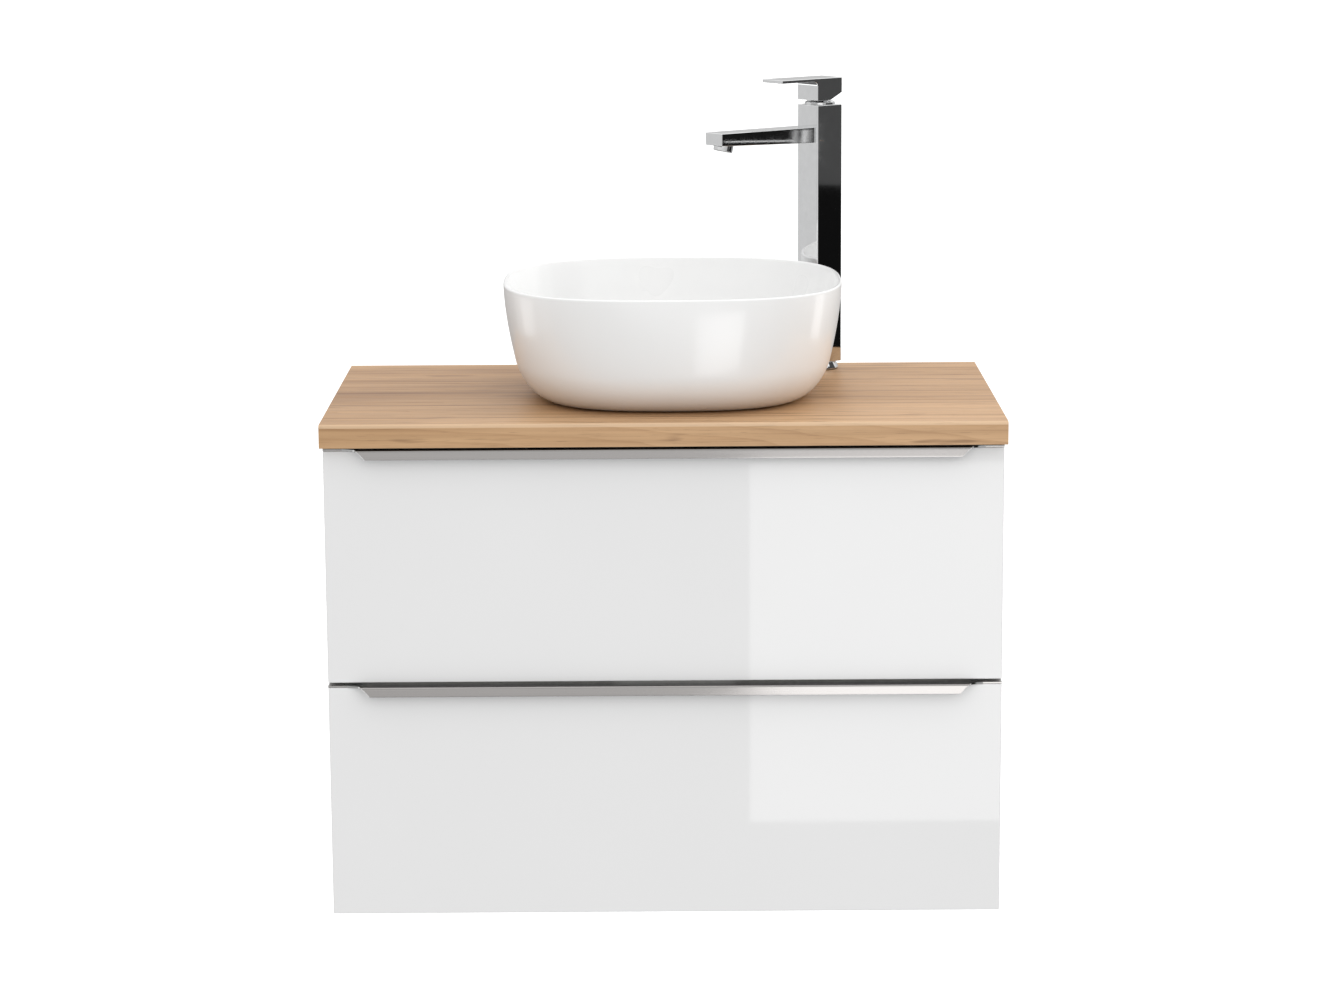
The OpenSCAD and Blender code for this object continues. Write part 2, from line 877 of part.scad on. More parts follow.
// Flange, threaded tail, and a spider that guides the plug's stem
module waste_body() {
    flange_z = floor_z + gasket_t;
    bore_r = tail_r - 4;
    color("silver") {
        at_waste(0) difference() {
            union() {
                translate([0, 0, flange_z]) cylinder(r = flange_r, h = flange_t);
                translate([0, 0, tail_z]) cylinder(r = tail_r, h = flange_z - tail_z + over / 2);
            }
            translate([0, 0, tail_z - over]) cylinder(r = bore_r, h = flange_z + flange_t - tail_z + 2 * over);
        }
        at_waste(guide_z) difference() {
            union() {
                cylinder(r = stem_r + 2.5, h = guide_h);
                for (angle = [0, 90]) rotate([0, 0, angle])
                    block([-bore_r - 0.5, -1.5, 0], [bore_r + 0.5, 1.5, 6]);
            }
            translate([0, 0, -over]) cylinder(r = stem_r + fit, h = guide_h + 2 * over);
        }
    }
}

// Gaskets above and below the basin and worktop, and seals under the trap's two smaller nuts
module drain_seals() {
    color("dimgray") {
        at_waste(floor_z) ring(flange_r - 1, waste_hole_r, gasket_t);
        at_waste(top_z - lower_gasket_t) ring(deck_hole_r + 9, tail_r + slack, lower_gasket_t);
        at_waste(trap_top_z) ring(pipe_r + 3, pipe_r + fit, 2);
        at_waste(outlet_z) translate([0, spigot_l, 0]) rotate([-90, 0, 0]) ring(spigot_r, pipe_r + fit, 2);
    }
}

module waste_nut() {
    color("silver") at_waste(top_z - lower_gasket_t - waste_nut_h) difference() {
        cylinder(r = deck_hole_r + 6, h = waste_nut_h, $fn = 8);
        translate([0, 0, -over]) cylinder(r = tail_r + fit, h = waste_nut_h + 2 * over);
    }
}

// Domed cap over the flange, on a stem in the guide
module waste_plug() {
    cap_z = floor_z + gasket_t + flange_t + slack;
    cap_r = flange_r - 1.5;
    color("silver") at_waste(cap_z) rotate_extrude()
        polygon([[0, 0], [cap_r - 1, 0], [cap_r, 1], [cap_r, 2.5], [cap_r - 1.5, 3.8],
            [cap_r - 6, 4.6], [0, 5.2]]);
    color("silver") at_waste(stem_z) cylinder(r = stem_r, h = cap_z - stem_z + over);
}

// ---- Trap ----

trap_body_r = cup_r - trap_wall - fit;

module trap_dip_tube() {
    color("silver") at_waste(cup_z + 20) ring(pipe_r, pipe_r - tube_t, tail_z - 1 - cup_z - 20);
}

// Body: neck round the dip tube, chamber, side spigot, and a skirt that screws into the cup
module trap_body() {
    neck_r = pipe_r + 3;
    color("silver") at_waste(0) difference() {
        union() {
            translate([0, 0, outlet_z - 20]) cylinder(r = cup_r, h = 40);
            translate([0, 0, trap_skirt_z]) cylinder(r = trap_body_r, h = 10);
            translate([0, 0, outlet_z + 18]) cylinder(r = neck_r, h = trap_top_z - outlet_z - 18);
            translate([0, 0, outlet_z]) rod_y(spigot_r, spigot_l);
        }
        translate([0, 0, trap_skirt_z - over])
            cylinder(r = trap_body_r - trap_wall, h = outlet_z + 18 - trap_skirt_z + over);
        translate([0, 0, outlet_z]) cylinder(r = pipe_r + slack, h = 40);
        translate([0, 0, outlet_z]) rod_y(pipe_r - tube_t - 0.5, spigot_l + over);
    }
}

module trap_cup() {
    rim_z = outlet_z - 20;
    color("silver") at_waste(cup_z) difference() {
        union() {
            translate([0, 0, 6]) cylinder(r = cup_r, h = rim_z - cup_z - 6);
            cylinder(r1 = cup_r - 6, r2 = cup_r, h = 6);
        }
        translate([0, 0, 6]) cylinder(r = trap_body_r + fit, h = rim_z - cup_z);
    }
}

// Nuts at the waste's tail, on the trap's neck and on its spigot
module trap_nuts() {
    color("silver") {
        at_waste(tail_z - 12) difference() {
            cylinder(r = tail_r + 4, h = 20);
            translate([0, 0, 12]) cylinder(r = tail_r + fit, h = 20);
            translate([0, 0, -over]) cylinder(r = pipe_r + fit, h = 20);
        }
        at_waste(trap_top_z - 10) difference() {
            cylinder(r = pipe_r + 6, h = 18);
            translate([0, 0, -over]) cylinder(r = pipe_r + 3 + fit, h = 12 + over);
            cylinder(r = pipe_r + fit, h = 20);
        }
        at_waste(outlet_z) translate([0, spigot_l - 10, 0]) difference() {
            rod_y(spigot_r + 4, 18);
            translate([0, -over, 0]) rod_y(spigot_r + fit, 12 + over);
            rod_y(pipe_r + fit, 20);
        }
    }
}

// Pipe from the trap to the wall, with a fine groove that marks how far it goes into a socket
module trap_outlet_pipe() {
    color("silver") translate([basin_x, 0, outlet_z]) rotate([90, 0, 0]) difference() {
        ring(pipe_r, pipe_r - tube_t, basin_y - spigot_l);
        translate([0, 0, insertion_l]) ring(pipe_r + over, pipe_r - 0.3, 1);
    }
}

// Domed collar, pushed forward along the pipe so that the pipe's end stands free
module wall_rosette() {
    color("silver") translate([basin_x, -insertion_l - 2, outlet_z]) rotate([90, 0, 0]) rotate_extrude()
        polygon([[pipe_r + fit, 0], [pipe_r + 17, 0], [pipe_r + 17, 2], [pipe_r + 9, 7], [pipe_r + fit, 9]]);
}

// ---- Tap. Drawn with its foot at the origin and the spout along +X, then turned ----

module at_tap(z) {
    translate([tap_x, -tap_y, deck_z + z]) rotate([0, 0, 270 - tap_turn]) children();
}

module tap_foot() {
    inner_r = shank_r + slack;
    color("silver") at_tap(0) rotate_extrude()
        polygon([[inner_r, 1], [foot_r, 1], [foot_r, 3], [foot_top_r, foot_h], [inner_r, foot_h]]);
}

// Square column: bored for the shank and the hoses, counterbored for the cartridge
module tap_column() {
    color("silver") at_tap(0) difference() {
        translate([-column_w / 2, -column_w / 2, foot_h])
            linear_extrude(column_h - foot_h) round_rect([column_w, column_w], 1.5);
        translate([0, 0, foot_h - over]) cylinder(r = shank_r + fit, h = column_h);
        translate([0, 0, cartridge_z - fit]) cylinder(r = cartridge_r + fit, h = column_h);
        translate([cartridge_r, 0, water_z]) rod_x(7 + fit, column_w);
    }
}

// Spout: flat top, underside rising towards the tip, a waterway and the aerator's bore
module tap_spout() {
    x0 = column_w / 2;
    x1 = x0 + spout_l;
    color("silver") at_tap(0) difference() {
        union() {
            translate([0, spout_w / 2, 0]) along_y(spout_w)
                polygon([[x0, spout_top], [x0, spout_top - spout_t], [x1, spout_top - spout_tip_t],
                    [x1, spout_top]]);
            translate([cartridge_r + 0.4, 0, water_z]) rod_x(7, 6);
        }
        translate([cartridge_r, 0, water_z]) rod_x(4, aerator_x - cartridge_r);
        at_aerator_axis(-aerator_drop) {
            cylinder(r = aerator_r + slack, h = aerator_drop + aerator_sink + slack);
            cylinder(r = aerator_neck_r + fit, h = aerator_drop + aerator_neck + slack);
            cylinder(r = aerator_bore, h = aerator_drop + aerator_neck + 4);
        }
    }
}

// Everything on the aerator's axis, which leans; zero is where it meets the spout's underside
module at_aerator_axis(z) {
    translate([aerator_x, 0, aerator_z]) rotate([0, -aerator_tilt, 0]) translate([0, 0, z]) children();
}

// Aerator housing: a collar sunk a little into the spout, and a threaded neck above it
module aerator_housing() {
    color("silver") at_tap(0) at_aerator_axis(-aerator_drop) difference() {
        union() {
            cylinder(r = aerator_r, h = aerator_drop + aerator_sink);
            cylinder(r = aerator_neck_r, h = aerator_drop + aerator_neck);
        }
        translate([0, 0, -over]) cylinder(r = aerator_bore, h = 40);
    }
}

// Plastic flow straightener inside the housing
module aerator_insert() {
    color("whitesmoke") at_tap(0) at_aerator_axis(1 - aerator_drop) difference() {
        cylinder(r = aerator_bore - fit, h = 5);
        for (ring_r = [2.2, 4.6], angle = [0 : 60 : 300])
            rotate([0, 0, angle + ring_r * 8]) translate([ring_r, 0, -over]) cylinder(r = 0.8, h = 7);
    }
}

// Cartridge: body with two threaded inlets below, and a neck bored for the spindle above
module tap_cartridge() {
    color("whitesmoke") at_tap(0) difference() {
        union() {
            translate([0, 0, cartridge_z]) cylinder(r = cartridge_r, h = cartridge_top - cartridge_z);
            translate([0, 0, cartridge_z]) cylinder(r = neck_r, h = column_h + 1 - cartridge_z);
        }
        for (side = [-1, 1])
            translate([0, side * inlet_y, cartridge_z - over]) cylinder(r = inlet_r, h = 12 + over);
        translate([0, 0, pivot_z - spindle_depth - slack]) cylinder(r = spindle_r + fit, h = 30);
    }
}

module cartridge_nut() {
    color("goldenrod") at_tap(cartridge_top) ring(cartridge_r, neck_r + fit, column_h - cartridge_top);
}

// Bevelled ring in the gap between the column and the lever
module dome_ring() {
    outer_r = column_w / 2 - 1;
    color("silver") at_tap(column_h) rotate_extrude()
        polygon([[neck_r + slack, 0], [outer_r, 0], [outer_r, ring_top - 1.8],
            [outer_r - 3, ring_top], [neck_r + slack, ring_top]]);
}

module tap_shank() {
    color("goldenrod") at_tap(-worktop_t - 25) ring(shank_r, shank_bore, worktop_t + 25 + foot_h + 20);
}

// Seal under the foot, a rubber washer under the worktop and a steel one under that
module tap_washers() {
    color("dimgray") at_tap(0) ring(foot_r - 1, deck_tap_r + 1, 1);
    color("dimgray") at_tap(-worktop_t - 2.5) ring(27, shank_r + slack, 2.5);
    color("silver") at_tap(-worktop_t - 4 - joint_line) ring(26, shank_r + slack, 1.5);
}

module tap_nut() {
    color("goldenrod") at_tap(-worktop_t - 13 - 2 * joint_line) difference() {
        cylinder(r = 21, h = 9, $fn = 6);
        translate([0, 0, -over]) cylinder(r = shank_r + fit, h = 9 + 2 * over);
    }
}

// Spindle: turns in the cartridge's neck, and carries the stem on a cross pin in its slot
module cartridge_spindle() {
    slot = [14, stem_size[1] + 2 * fit];
    color("whitesmoke") at_tap(pivot_z) {
        difference() {
            translate([0, 0, -spindle_depth]) cylinder(r = spindle_r, h = spindle_depth + 3);
            translate([-slot[0] / 2, -slot[1] / 2, -spindle_depth - over])
                cube([slot[0], slot[1], spindle_depth + 3 + 2 * over]);
        }
        translate([0, -slot[1] / 2 - over, 0]) rod_y(spindle_pin_r, slot[1] + 2 * over);
    }
}

// Flat stem on the spindle's pin, reaching up into the lever
module cartridge_stem() {
    color("silver") at_tap(pivot_z) difference() {
        block([-stem_size[0] / 2, -stem_size[1] / 2, -5],
            [stem_size[0] / 2, stem_size[1] / 2, lever_z - pivot_z + 16]);
        translate([0, -stem_size[1], 0]) rod_y(spindle_pin_r + fit, 2 * stem_size[1]);
    }
}

// Where the flat of the lever's underside ends, so that it tips back over the ring with the slack to spare
ring_rise = column_h + ring_top + slack - pivot_z;
lever_heel = (ring_rise - (lever_z - pivot_z) * cos(lever_lift)) / sin(lever_lift);

// Lever: a block with its rear lower edge cut away, and a thin plate out over the spout
module tap_lever() {
    half = column_w / 2;
    fillet = 6;
    color("silver") at_tap(lever_z) difference() {
        translate([0, half, 0]) along_y(column_w) {
            polygon([[-half, 9], [lever_heel, 0], [half, 0], [half, lever_h - lever_t],
                [half + lever_l, lever_h - lever_t], [half + lever_l, lever_h], [-half, lever_h]]);
            difference() {
                translate([half, lever_h - lever_t - fillet]) square([fillet, fillet]);
                translate([half + fillet, lever_h - lever_t - fillet]) circle(r = fillet);
            }
        }
        block([-stem_size[0] / 2 - fit, -stem_size[1] / 2 - fit, -over],
            [stem_size[0] / 2 + fit, stem_size[1] / 2 + fit, 17]);
        translate([-half - over, 0, 12]) rod_x(2.5 + fit, half);
    }
}

module lever_grub_screw() {
    color("dimgray") at_tap(lever_z + 12) translate([-stem_size[0] / 2 - 12 - fit, 0, 0]) rod_x(2.5, 12);
}

side_left();
side_right();
bottom_panel();
top_front_rail();
top_back_rail();
back_rail_upper();
back_rail_lower();
carcass_dowels();
cam_fittings();
hangers();
wall_plates();
worktop();
worktop_screws();
fixed_runners();
runner_screws();
upper_front();
upper_handle();
upper_sides();
upper_bottom();
upper_inner_boards();
upper_gallery_rails();
upper_brackets();
upper_inner_runners();
upper_middle_runners();
lower_front();
lower_handle();
lower_sides();
lower_bottom();
lower_back_board();
lower_gallery_rails();
lower_brackets();
lower_inner_runners();
lower_middle_runners();
basin();
basin_seal();
waste_body();
waste_nut();
waste_plug();
drain_seals();
trap_dip_tube();
trap_body();
trap_cup();
trap_nuts();
trap_outlet_pipe();
wall_rosette();
tap_foot();
tap_column();
tap_spout();
aerator_housing();
aerator_insert();
tap_cartridge();
cartridge_nut();
dome_ring();
tap_shank();
tap_washers();
tap_nut();
cartridge_spindle();
cartridge_stem();
tap_lever();
lever_grub_screw();
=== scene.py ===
"""Looks of a wall-hung washbasin vanity: gloss fronts, an oak worktop, a vessel basin and a tall mixer tap.

Metres, in the CAD frame: +X to the right, +Y towards the wall, +Z up, with the origin on the wall.
Every piece takes its place and size from the box of the CAD node that it stands for.
"""

import json
import math

import bmesh
import bpy
from mathutils import Matrix, Vector


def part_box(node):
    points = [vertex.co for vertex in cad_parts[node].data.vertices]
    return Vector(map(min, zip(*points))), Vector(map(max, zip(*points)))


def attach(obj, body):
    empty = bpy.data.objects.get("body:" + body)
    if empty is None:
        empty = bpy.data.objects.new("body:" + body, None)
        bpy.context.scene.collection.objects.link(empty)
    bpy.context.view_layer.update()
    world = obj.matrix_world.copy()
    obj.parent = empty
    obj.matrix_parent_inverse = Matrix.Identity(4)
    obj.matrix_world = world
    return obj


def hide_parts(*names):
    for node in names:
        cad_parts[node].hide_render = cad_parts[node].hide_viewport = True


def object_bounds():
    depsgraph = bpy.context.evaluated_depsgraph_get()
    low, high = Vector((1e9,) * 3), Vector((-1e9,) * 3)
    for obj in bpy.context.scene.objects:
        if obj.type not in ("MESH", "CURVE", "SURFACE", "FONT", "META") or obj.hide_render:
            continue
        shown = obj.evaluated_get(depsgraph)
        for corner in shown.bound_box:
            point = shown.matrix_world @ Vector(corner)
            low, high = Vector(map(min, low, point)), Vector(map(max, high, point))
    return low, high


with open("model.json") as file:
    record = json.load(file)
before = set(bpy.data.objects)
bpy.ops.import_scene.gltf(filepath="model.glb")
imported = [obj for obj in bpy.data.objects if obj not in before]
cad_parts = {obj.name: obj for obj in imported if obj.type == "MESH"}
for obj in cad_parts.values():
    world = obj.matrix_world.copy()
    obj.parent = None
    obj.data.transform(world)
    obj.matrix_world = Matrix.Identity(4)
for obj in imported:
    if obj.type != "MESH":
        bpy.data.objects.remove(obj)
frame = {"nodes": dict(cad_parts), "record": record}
cad_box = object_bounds()
slot_of = {part["node"]: part["material_slot"] for part in frame["record"]["subparts"]}
body_of = {node: body for body, nodes in frame["record"]["behaviour"]["bodies"].items() for node in nodes}

MM = 0.001


# ---- Materials ----


class Finish:
    """One procedural material: its shader's own settings, and short calls for the nodes that vary it."""

    def __init__(self, name, colour, roughness, **settings):
        self.material = bpy.data.materials.new(name)
        self.material.use_nodes = True
        self.tree = self.material.node_tree
        self.shader = self.tree.nodes["Principled BSDF"]
        self.shader.inputs["Base Color"].default_value = (*colour, 1)
        self.shader.inputs["Roughness"].default_value = roughness
        for label, value in settings.items():
            self.shader.inputs[label.replace("_", " ")].default_value = value
        self.place = self.tree.nodes.new("ShaderNodeTexCoord").outputs["Object"]

    def node(self, kind, inputs, **settings):
        """Adds a node. Each input is a value, or another node's output to link."""
        made = self.tree.nodes.new("ShaderNode" + kind)
        for key, value in settings.items():
            setattr(made, key, value)
        for key, value in inputs.items():
            if isinstance(value, bpy.types.NodeSocket):
                self.tree.links.new(value, made.inputs[key])
            else:
                made.inputs[key].default_value = value
        return made

    def stretched(self, stretch):
        """The place on the piece, with each axis multiplied."""
        return self.node("Mapping", {"Vector": self.place, "Scale": stretch}).outputs[0]

    def noise(self, scale, stretch=(1, 1, 1), detail=3, roughness=0.5, distortion=0.0):
        """A noise pattern. Its value is from 0 to 1."""
        inputs = {
            "Vector": self.stretched(stretch),
            "Scale": scale,
            "Detail": detail,
            "Roughness": roughness,
            "Distortion": distortion,
        }
        return self.node("TexNoise", inputs).outputs[0]

    def sum(self, first, second, operation="ADD"):
        """Two values joined by one math operation, which is addition unless another is named."""
        return self.node("Math", {0: first, 1: second}, operation=operation).outputs[0]

    def span(self, value, low, high, from_low=0.0, from_high=1.0):
        """value moved from one range to another, and held inside it."""
        inputs = {"Value": value, "From Min": from_low, "From Max": from_high, "To Min": low, "To Max": high}
        return self.node("MapRange", inputs).outputs[0]

    def ramp(self, factor, stops):
        """Colour by a factor. stops is a list of (place, colour)."""
        made = self.node("ValToRGB", {"Fac": factor})
        elements = made.color_ramp.elements
        while len(elements) < len(stops):
            elements.new(0.5)
        for element, (place, colour) in zip(elements, stops):
            element.position = place
            element.color = (*colour, 1)
        return made.outputs["Color"]

    def mix(self, factor, first, second, blend="MIX"):
        """Two colours blended. Each is a colour, or another node's output."""
        made = self.node("Mix", {0: factor}, data_type="RGBA", blend_type=blend)
        for index, value in ((6, first), (7, second)):
            if isinstance(value, bpy.types.NodeSocket):
                self.tree.links.new(value, made.inputs[index])
            else:
                made.inputs[index].default_value = (*value, 1)
        return made.outputs[2]

    def feed(self, label, output):
        """Links an output to one of the shader's own inputs."""
        self.tree.links.new(output, self.shader.inputs[label])

    def bump(self, height, strength, distance):
        """Adds relief. distance is the depth of the relief in metres."""
        inputs = {"Height": height, "Strength": strength, "Distance": distance}
        self.feed("Normal", self.node("Bump", inputs).outputs[0])


def tinted(colour, factor):
    """A colour made lighter or darker."""
    return tuple(channel * factor for channel in colour)


def lacquer(name, colour, roughness):
    """Gloss acrylic: almost flat, with a faint orange peel and a little haze."""
    finish = Finish(name, colour, roughness, IOR=1.5)
    haze = finish.noise(6, detail=2)
    finish.feed("Roughness", finish.span(haze, roughness * 0.7, roughness * 1.5))
    finish.feed("Base Color", finish.mix(haze, tinted(colour, 0.985), tinted(colour, 1.01)))
    finish.bump(finish.noise(160, detail=1), 0.05, 0.02 * MM)
    return finish.material


def melamine(name, colour):
    """White board: a fine pebbled film."""
    finish = Finish(name, colour, 0.45, IOR=1.5)
    cloud = finish.noise(9, detail=4)
    finish.feed("Base Color", finish.mix(cloud, tinted(colour, 0.97), tinted(colour, 1.02)))
    pebble = finish.noise(1800, detail=2)
    finish.feed("Roughness", finish.span(pebble, 0.38, 0.52))
    finish.bump(pebble, 0.25, 0.04 * MM)
    return finish.material


def chipboard(name):
    """Raw edge of pressed wood chips."""
    finish = Finish(name, (0.5, 0.36, 0.22), 0.85)
    chips = finish.noise(420, stretch=(1, 1, 2.5), detail=5, roughness=0.7)
    stops = [(0.3, (0.22, 0.14, 0.07)), (0.5, (0.5, 0.36, 0.22)), (0.72, (0.75, 0.6, 0.42))]
    finish.feed("Base Color", finish.ramp(chips, stops))
    finish.bump(chips, 0.5, 0.3 * MM)
    return finish.material


# Width of one printed stave of the worktop
STAVE_W = 92 * MM


def oak(name, along, across, pale=0.0):
    """Golden oak laminate, printed as staves. along and across are the stretch of the figure on each axis.

    pale is how far the whole of it is blended towards a pale oak colour; on the nose this is a painted
    highlight.
    """
    finish = Finish(name, (0.6, 0.4, 0.24), 0.45, IOR=1.5, Specular_IOR_Level=0.3)
    broad = tuple(1.1 if axis else 8 * across for axis in along)
    streaky = tuple(1.6 if axis else 75 for axis in along)
    grain = tuple(3 if axis else 260 for axis in along)
    pores = tuple(30 if axis else 1300 for axis in along)
    # Broad light and dark figure, with wandering growth lines inside it
    figure = finish.noise(1.0, stretch=broad, detail=3, roughness=0.55, distortion=0.3)
    rings = finish.node(
        "TexWave",
        {
            "Vector": finish.stretched(tuple(0.1 if axis else 1.0 for axis in along)),
            "Scale": 38.0,
            "Distortion": 10.0,
            "Detail": 3.0,
            "Detail Scale": 0.5,
            "Detail Roughness": 0.6,
        },
        bands_direction="DIAGONAL",
        wave_profile="SAW",
    ).outputs["Fac"]
    # Staves: each a little lighter or darker than the next, with a fine dark line between them
    place = finish.node("SeparateXYZ", {0: finish.place})
    stave = finish.sum(finish.sum(place.outputs["Y" if along[0] else "X"], 1 / STAVE_W, "MULTIPLY"), 0.5)
    which_stave = finish.sum(stave, 0, "FLOOR")
    tone = finish.node("TexWhiteNoise", {"W": which_stave}, noise_dimensions="1D").outputs["Value"]
    from_joint = finish.sum(finish.sum(finish.sum(stave, 0, "FRACT"), 0.5, "SUBTRACT"), 0, "ABSOLUTE")
    joint = finish.span(from_joint, 0, 1, 0.46, 0.485)
    # Long dark streaks, then fine fibres, then the short dashes of open pores
    streaks = finish.noise(1.0, stretch=streaky, detail=3, roughness=0.55, distortion=0.4)
    fibres = finish.noise(1.0, stretch=grain, detail=4, roughness=0.6)
    dashes = finish.noise(1.0, stretch=pores, detail=2, roughness=0.6)
    knots = finish.noise(1.0, stretch=tuple(9 if axis else 95 for axis in along), detail=2, roughness=0.5)
    light = (0.57, 0.363, 0.2)
    middle = (0.475, 0.291, 0.15)
    dark = (0.345, 0.196, 0.096)
    colour = finish.ramp(figure, [(0.32, dark), (0.47, middle), (0.68, light)])
    ring_stops = [(0.0, (1.03, 1.03, 1.03)), (0.72, (0.97, 0.95, 0.93)), (0.98, (0.78, 0.72, 0.66))]
    lines = finish.ramp(rings, ring_stops)
    colour = finish.mix(0.5, colour, lines, blend="MULTIPLY")
    stave_tone = finish.ramp(tone, [(0.0, (0.9, 0.88, 0.86)), (1.0, (1.07, 1.08, 1.09))])
    colour = finish.mix(1.0, colour, stave_tone, blend="MULTIPLY")
    streak_stops = [(0.3, (0.66, 0.58, 0.5)), (0.43, (0.95, 0.93, 0.91)), (0.6, (1.04, 1.04, 1.04))]
    long_marks = finish.ramp(streaks, streak_stops)
    colour = finish.mix(0.85, colour, long_marks, blend="MULTIPLY")
    fibre_stops = [(0.3, (0.8, 0.76, 0.72)), (0.5, (1, 1, 1)), (0.75, (1.1, 1.1, 1.1))]
    fine_marks = finish.ramp(fibres, fibre_stops)
    colour = finish.mix(0.8, colour, fine_marks, blend="MULTIPLY")
    knot_marks = finish.span(knots, 0, 0.55, 0.63, 0.71)
    marks = finish.sum(knot_marks, finish.sum(joint, 0.5, "MULTIPLY"), "MAXIMUM")
    colour = finish.mix(marks, colour, (0.17, 0.085, 0.04))
    pits = finish.span(dashes, 0, 1, 0.62, 0.7)
    colour = finish.mix(finish.sum(pits, 0.55, "MULTIPLY"), colour, (0.2, 0.11, 0.055))
    # Blended towards pale oak by pale: where the nose uses it, this is a painted highlight
    finish.feed("Base Color", finish.mix(pale, colour, (0.83, 0.64, 0.45)))
    finish.feed("Roughness", finish.span(fibres, 0.38, 0.52, 0.3, 0.7))
    finish.bump(finish.sum(fibres, finish.sum(pits, 0.8, "MULTIPLY"), "SUBTRACT"), 0.3, 0.08 * MM)
    return finish.material


def metal(name, colour, roughness, brushed=None, fleck=90):
    """Bare or plated metal. brushed is the stretch of the brush marks, if it has them."""
    finish = Finish(name, colour, roughness, Metallic=1)
    marks = finish.noise(1 if brushed else fleck, stretch=brushed or (1, 1, 1), detail=4, roughness=0.6)
    finish.feed("Roughness", finish.span(marks, roughness * 0.75, roughness * 1.35, 0.3, 0.7))
    finish.feed("Base Color", finish.mix(marks, tinted(colour, 0.93), tinted(colour, 1.04)))
    if brushed:
        finish.bump(marks, 0.12, 0.02 * MM)
    return finish.material


def zinc(name):
    """Galvanised steel: pale spangle over a dull grey."""
    finish = Finish(name, (0.6, 0.61, 0.63), 0.38, Metallic=1)
    cells = finish.node("TexVoronoi", {"Vector": finish.place, "Scale": 220.0}).outputs["Color"]
    value = finish.node("RGBToBW", {0: cells}).outputs[0]
    finish.feed("Base Color", finish.ramp(value, [(0.2, (0.5, 0.51, 0.53)), (0.8, (0.68, 0.69, 0.71))]))
    finish.feed("Roughness", finish.span(value, 0.3, 0.46))
    return finish.material


def glaze(name):
    """Glazed ceramic: white body under a thick clear coat that pools a little unevenly."""
    finish = Finish(name, (0.86, 0.86, 0.855), 0.3, IOR=1.5, Coat_Weight=0.5, Coat_Roughness=0.1)
    cloud = finish.noise(7, detail=2)
    finish.feed("Base Color", finish.mix(cloud, (0.85, 0.85, 0.843), (0.875, 0.875, 0.872)))
    finish.feed("Roughness", finish.span(cloud, 0.24, 0.34))
    finish.bump(finish.noise(24, detail=1), 0.05, 0.15 * MM)
    return finish.material


def moulded(name, colour, roughness, grain=700, depth=0.03):
    """Moulded plastic, rubber or cured sealant: a fine even texture."""
    finish = Finish(name, colour, roughness)
    texture = finish.noise(grain, detail=3)
    finish.feed("Base Color", finish.mix(finish.noise(15), tinted(colour, 0.92), tinted(colour, 1.05)))
    finish.feed("Roughness", finish.span(texture, roughness * 0.85, min(1, roughness * 1.15)))
    finish.bump(texture, 0.3, depth * MM)
    return finish.material


def beech_wood(name):
    """Turned beech dowel: pale, with fine flecks along its length."""
    finish = Finish(name, (0.7, 0.5, 0.33), 0.6)
    flecks = finish.noise(1, stretch=(60, 900, 900), detail=4)
    finish.feed("Base Color", finish.ramp(flecks, [(0.35, (0.5, 0.33, 0.2)), (0.6, (0.72, 0.53, 0.36))]))
    finish.bump(flecks, 0.3, 0.1 * MM)
    return finish.material


GLOSS = lacquer("gloss_white", (0.79, 0.79, 0.79), 0.03)
BOARD = melamine("white_board", (0.78, 0.78, 0.77))
OAK = oak("oak_top", (1, 0, 0), 1.0)
OAK_END = oak("oak_end_band", (0, 1, 0), 1.4)
# The nose's oak is made paler: a painted highlight along the bent-over front edge of the worktop
OAK_NOSE_HIGHLIGHT = oak("oak_nose_painted_highlight", (1, 0, 0), 1.0, pale=0.4)
BACKING = moulded("worktop_backing", (0.42, 0.36, 0.3), 0.6, grain=500, depth=0.05)
CHIPS = chipboard("chipboard_edge")
ALUMINIUM = metal("satin_aluminium", (0.33, 0.318, 0.31), 0.15, brushed=(4, 900, 900))
CUT_EDGE = metal("polished_aluminium", (0.95, 0.95, 0.94), 0.12)
CHROME = metal("chrome", (0.78, 0.785, 0.79), 0.035)
ZINC = zinc("zinc_steel")
PAINTED = moulded("grey_painted_steel", (0.56, 0.57, 0.58), 0.35, grain=1200, depth=0.02)
BRASS = metal("brass", (0.78, 0.6, 0.3), 0.28)
GLAZE = glaze("white_glaze")
PLASTIC = moulded("white_plastic", (0.78, 0.78, 0.76), 0.35)
RUBBER = moulded("black_rubber", (0.03, 0.03, 0.03), 0.7, grain=900, depth=0.06)
SEALANT = moulded("silicone", (0.75, 0.75, 0.74), 0.3, grain=60, depth=0.1)
BEECH = beech_wood("beech")
BLACK = metal("black_steel", (0.05, 0.05, 0.055), 0.4)

FINISH_OF_SLOT = {
    "gloss_white": GLOSS,
    "white_board": BOARD,
    "oak_laminate": OAK,
    "satin_aluminium": ALUMINIUM,
    "grey_steel": PAINTED,
    "zinc_steel": ZINC,
    "glazed_ceramic": GLAZE,
    "chrome": CHROME,
    "brass": BRASS,
    "rubber": RUBBER,
    "white_plastic": PLASTIC,
    "beech": BEECH,
    "silicone": SEALANT,
    "black_steel": BLACK,
}


# ---- Making pieces ----

# Faces this close in direction are joined, edges this sharp are rounded, and edges this sharp stay creased
SAME_PLANE = math.radians(0.5)
SHARP = math.radians(30)
CREASE = math.radians(35)


def finished(piece, node, materials):
    """Gives a new piece its materials and its body, and hides the CAD node that it stands for."""
    for material in materials:
        piece.data.materials.append(material)
    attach(piece, body_of[node])
    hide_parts(node)


